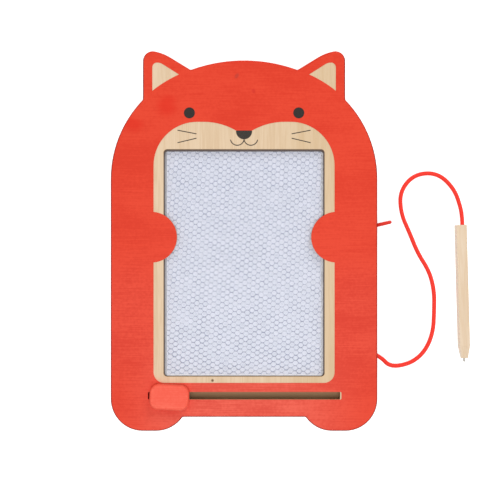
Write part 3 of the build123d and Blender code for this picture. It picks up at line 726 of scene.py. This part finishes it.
# %% Paint on the board
# Painted sheen: the pale, pinker marks on the lower sides and round the slot stand for a soft
# reflection of light.
SIDE_SHEENS = ((-108 * MM, -75 * MM, FACE_Z), (108 * MM, -75 * MM, FACE_Z))
SIDE_SHEEN_RADIUS = 75 * MM
PAINTED_SHEEN = (0, -162 * MM, FACE_Z)
PAINTED_SHEEN_RADIUS = 125 * MM
THICK_PATCHES = ((-70 * MM, 129 * MM, FACE_Z), (-103 * MM, 112 * MM, FACE_Z))
PATCH_RADIUS = 13 * MM
COVERED_KNOT = (-6.6 * MM, 154.8 * MM, FACE_Z)
COVERED_KNOT_RADIUS = 2.6 * MM
FAINT_KNOT = (9.4 * MM, 140.6 * MM, FACE_Z)
FAINT_KNOT_RADIUS = 3.2 * MM

# The first three marks are painted sheen. The thick patches and the knots are the paint's own.
marks = [(middle, SIDE_SHEEN_RADIUS, "#e03b25", "#ef4d35") for middle in SIDE_SHEENS]
marks += [(PAINTED_SHEEN, PAINTED_SHEEN_RADIUS, "#e44b38", "#f6644f")]
marks += [(middle, PATCH_RADIUS, "#e43017", "#e8341b") for middle in THICK_PATCHES]
marks += [(COVERED_KNOT, COVERED_KNOT_RADIUS, "#c93a29", "#cf3f2e")]
marks += [(FAINT_KNOT, FAINT_KNOT_RADIUS, "#da3320", "#df3825")]
# The sides' deeper red #c02c1d partly stands for their shade, and #6a120a is the arris's line of
# painted shade.
board_red = satin_red("satin_red_paint", "#e2391f", "#ed462b", "#c02c1d", "#6a120a", marks)
dress(board_red, "red_paint")
print(board_red.name, "has", len(marks), "marks")

# %% [markdown]
# ## Other finishes
#
# The eyes, nose, mouth and whiskers are printed with a warm black ink, matt and slightly uneven.
# A pale sealed border runs round the cells, with a greyer strip down its left side that is painted
# shade of the window's left wall. The film behind them is white, and a foam tape holds the screen
# under the edge of the window. Its dark grey also stands for the shade in the narrow gap round the
# screen. Under the knob a grey moulded carriage carries a strip of flexible magnet with felt on
# it, on slippery white pads. The pen's tip is turned steel, the screws are zinc plated, and a
# crimped ring of aluminium holds the elastic. The cord's ends lie hidden in the board and the pen,
# so they get its red without the braid. All of these are two close tones in a grain of a real
# size, with a bump to match, so one pattern makes them.

# %% Speckled finishes
SPECKLE_TONES = (0.35, 0.65)
LEFT_SHADE_STRIP = (-72.9 * MM, -72.4 * MM)
INK = {"Specular IOR Level": 0.2}
METAL = {"Metallic": 1.0}


def speckled(name, dark, pale, size, roughness, bump_strength=0.2, extra=None, left=None):
    """Two close tones and a bump, both from noise whose blobs have a real size.

    extra holds more of the shader's sockets, and left the two tones of a strip along the left
    side, which is painted shade of the window's wall.
    """
    material = new_material(name)
    place = add_node(material, "TexCoord", {}, "Object")
    noise = add_node(material, "TexNoise", {"Vector": place, "Scale": 1 / size, "Detail": 3.0})
    color = two_tone(material, noise, *SPECKLE_TONES, linear(dark), linear(pale))
    if left:
        strip = two_tone(material, noise, *SPECKLE_TONES, linear(left[0]), linear(left[1]))
        across = add_node(material, "SeparateXYZ", {0: place}, "X")
        color = two_tone(material, across, *LEFT_SHADE_STRIP, strip, color)
    relief = {"Height": noise, "Strength": bump_strength, "Distance": 0.05 * MM}
    bump = add_node(material, "Bump", relief)
    look = {"Base Color": color, "Normal": bump, "Roughness": roughness}
    return set_surface(material, look | (extra or {}))


earlier = len(bpy.data.materials)
dress(speckled("eye_ink", "#292421", "#322d2a", 0.6 * MM, 0.6, 0.1, INK), "eye_print")
dress(speckled("line_ink", "#332e2a", "#3f3934", 0.6 * MM, 0.6, 0.1, INK), "muzzle_print")
# The grey left strip of the border is painted shade of the window's left wall.
border = speckled("sealed_border", "#f0f1f6", "#f9f9fd", 3 * MM, 0.35, left=("#a0a1aa", "#aaabb3"))
dress(border, "screen_rim")
# The tape's dark grey partly stands for the shade in the narrow gap round the screen.
dress(speckled("foam_tape_and_gap_shade", "#655b59", "#746a67", 0.8 * MM, 0.8), "screen_tape")
dress(speckled("white_film", "#e2e4ec", "#eaecf3", 2 * MM, 0.4), "screen_back_sheet")
dress(speckled("moulded_abs", "#8d8c8a", "#979694", 0.3 * MM, 0.5), "eraser_carriage")
dress(speckled("pressed_felt", "#8f8f90", "#a9a9aa", 0.25 * MM, 0.95, 0.8), "eraser_felt")
dress(speckled("flexible_magnet", "#2a2726", "#35312f", 0.2 * MM, 0.7), "eraser_magnet")
dress(speckled("slick_nylon_pads", "#e8e8e4", "#f1f1ee", 0.5 * MM, 0.35), "eraser_glide_pads")
dress(speckled("turned_steel", "#8d8a84", "#a5a29b", 0.15 * MM, 0.34, 0.15, METAL), "pen_tip")
zinc = speckled("zinc_plated_steel", "#a9aaad", "#c2c3c6", 0.6 * MM, 0.38, 0.15, METAL)
dress(zinc, "pen_magnet", "back_screws", "eraser_screws")
ring = speckled("crimped_aluminium", "#b4b5b8", "#c6c7ca", 0.3 * MM, 0.35, extra=METAL)
dress(ring, "loop_ferrule")
weave = speckled("cord_end_weave", "#e62c1d", "#f33c2b", 0.6 * MM, 0.8)
dress(weave, "cord_board_end", "cord_pen_end")
print("speckled finishes", len(bpy.data.materials) - earlier)

# %% [markdown]
# ## The screen's film and cells
#
# A clear film lies over the cells. It is nearly invisible, so it is a thin coat of gloss at a low
# alpha. The cells mix three colours by the number on each point: milky white on the disc, blue
# grey on the walls, and a darker grey where that number is highest.

# %% Film and cells
clear_film = new_material("clear_film")
look = {"Base Color": linear("#f4f6fb"), "Roughness": 0.22, "Alpha": 0.08}
dress(set_surface(clear_film, look), "screen_front_sheet")

milky = new_material("milky_cells")
wall = add_node(milky, "Attribute", {}, "Fac", attribute_name="wall")
tone_value = add_node(milky, "Attribute", {}, "Fac", attribute_name="tone")
disc_color = two_tone(milky, tone_value, 0.0, 1.0, linear("#dee1ee"), linear("#e3e5f2"))
wall_color = two_tone(milky, wall, 0.9, DARKEST, linear("#9ca3bc"), linear("#5c6074"))
cell_color = two_tone(milky, wall, 0.05, 0.8, disc_color, wall_color)
look = {"Base Color": cell_color, "Roughness": 0.5, "Specular IOR Level": 0.1}
cells.data.materials.append(set_surface(milky, look))
print("film over", len(cells.data.polygons), "faces")

# %% [markdown]
# ## Woven cord and elastic
#
# Both are braided from fine red threads that cross in a diamond pattern. Two sets of slanting
# bands on the UV map cross each other, one wound to the left and one to the right. A real thread
# is about 0.3 mm wide, and here it is 0.6 mm, because a finer one wouldn't show.


# %% Braid
def braid(name, groove, thread, threads_round, thread_step):
    """Diamond braid on a UV map of turns and millimetres: the product of two slanting waves."""
    material = new_material(name)
    turns = add_node(material, "UVMap", {}, uv_map="weave")
    waves = []
    for lean in (1, -1):
        slant = {0: turns, 1: (2 * math.pi * threads_round, lean * 2 * math.pi / thread_step, 0)}
        phase = add_node(material, "VectorMath", slant, "Value", operation="DOT_PRODUCT")
        waves.append(add_node(material, "Math", {0: phase}, operation="SINE"))
    height = add_node(material, "Math", {0: waves[0], 1: waves[1]}, operation="MULTIPLY")
    color = two_tone(material, height, -1.0, 1.0, linear(groove), linear(thread))
    relief = {"Height": height, "Strength": 0.4, "Distance": 0.1 * MM}
    look = {
        "Base Color": color,
        "Normal": add_node(material, "Bump", relief),
        "Roughness": 0.7,
        "Specular IOR Level": 0.3,
        "Sheen Weight": 0.15,
        "Sheen Roughness": 0.5,
    }
    return set_surface(material, look)


cord.data.materials.append(braid("woven_red_cord", "#ff2e1f", "#ff4232", 8, 1.2))
loop.data.materials.append(braid("woven_red_elastic", "#d9241a", "#f5402f", 8, 1.0))
print("materials", len(bpy.data.materials))

# %% [markdown]
# ## Floor and light
#
# The board lies on a plain white floor under soft light. About half of it comes evenly from the
# sky. One softbox hangs over the feet and looks into the slot. A weaker one stands low beyond the
# ears, and brightens the top of the knob and the edges that face it. The floor shows white to the
# camera and keeps a faint shadow.

# %% Floor
FLOOR_HALF = 3.0
FLOOR_GLOW = 0.7

floor_mesh = bpy.data.meshes.new("floor")
floor_corners = np.array([(-1, -1, 0), (1, -1, 0), (1, 1, 0), (-1, 1, 0)]) * FLOOR_HALF
floor_corners[:, 2] = -0.05 * MM
floor_mesh.from_pydata(floor_corners.tolist(), [], [(0, 1, 2, 3)])
floor = bpy.data.objects.new("floor", floor_mesh)
bpy.context.scene.collection.objects.link(floor)


def glow_when_seen(surface, extra, rest):
    """A glow of strength rest for the light that it gives, and rest + extra where it is seen.

    It is seen by rays from the camera, and by those that are mirrored or pass through glass.
    """
    seen = add_node(surface, "LightPath", {}, "Is Camera Ray")
    for kind in ("Is Glossy Ray", "Is Transmission Ray"):
        ray = add_node(surface, "LightPath", {}, kind)
        seen = add_node(surface, "Math", {0: seen, 1: ray}, operation="MAXIMUM")
    return add_node(surface, "Math", {0: seen, 1: extra, 2: rest}, operation="MULTIPLY_ADD")


white_floor = new_material("white_floor")
look = {
    "Base Color": linear("#f4f4f4"),
    "Roughness": 0.9,
    "Specular IOR Level": 0.0,
    "Emission Color": (1, 1, 1, 1),
    "Emission Strength": glow_when_seen(white_floor, FLOOR_GLOW, 0.0),
}
floor_mesh.materials.append(set_surface(white_floor, look))
print("floor", 2 * FLOOR_HALF, "m wide")

# %% Light
SKY_LEVEL = 0.57

world = bpy.data.worlds.new("soft_sky")
world.use_nodes = True
world.node_tree.nodes.clear()
glow = {"Color": (1, 1, 1, 1), "Strength": glow_when_seen(world, 1 - SKY_LEVEL, SKY_LEVEL)}
add_node(world, "OutputWorld", {"Surface": add_node(world, "Background", glow)})
bpy.context.scene.world = world
bpy.context.scene.view_settings.view_transform = "Standard"


def hang_softbox(name, place, size, energy):
    """A square lamp that faces the board's middle: its Z axis points away from there."""
    data = bpy.data.lights.new(name, "AREA")
    data.size = size
    data.energy = energy
    lamp = bpy.data.objects.new(name, data)
    lamp.location = place
    lamp.rotation_euler = Vector(place).to_track_quat("Z", "Y").to_euler()
    bpy.context.scene.collection.objects.link(lamp)
    print(name, "at", round(Vector(place).length, 2), "m")


hang_softbox("softbox_over_feet", (0.0, -0.45, 1.85), 0.7, 11.2)
hang_softbox("softbox_low_at_ears", (0.6, 1.5, 1.0), 0.7, 8.5)
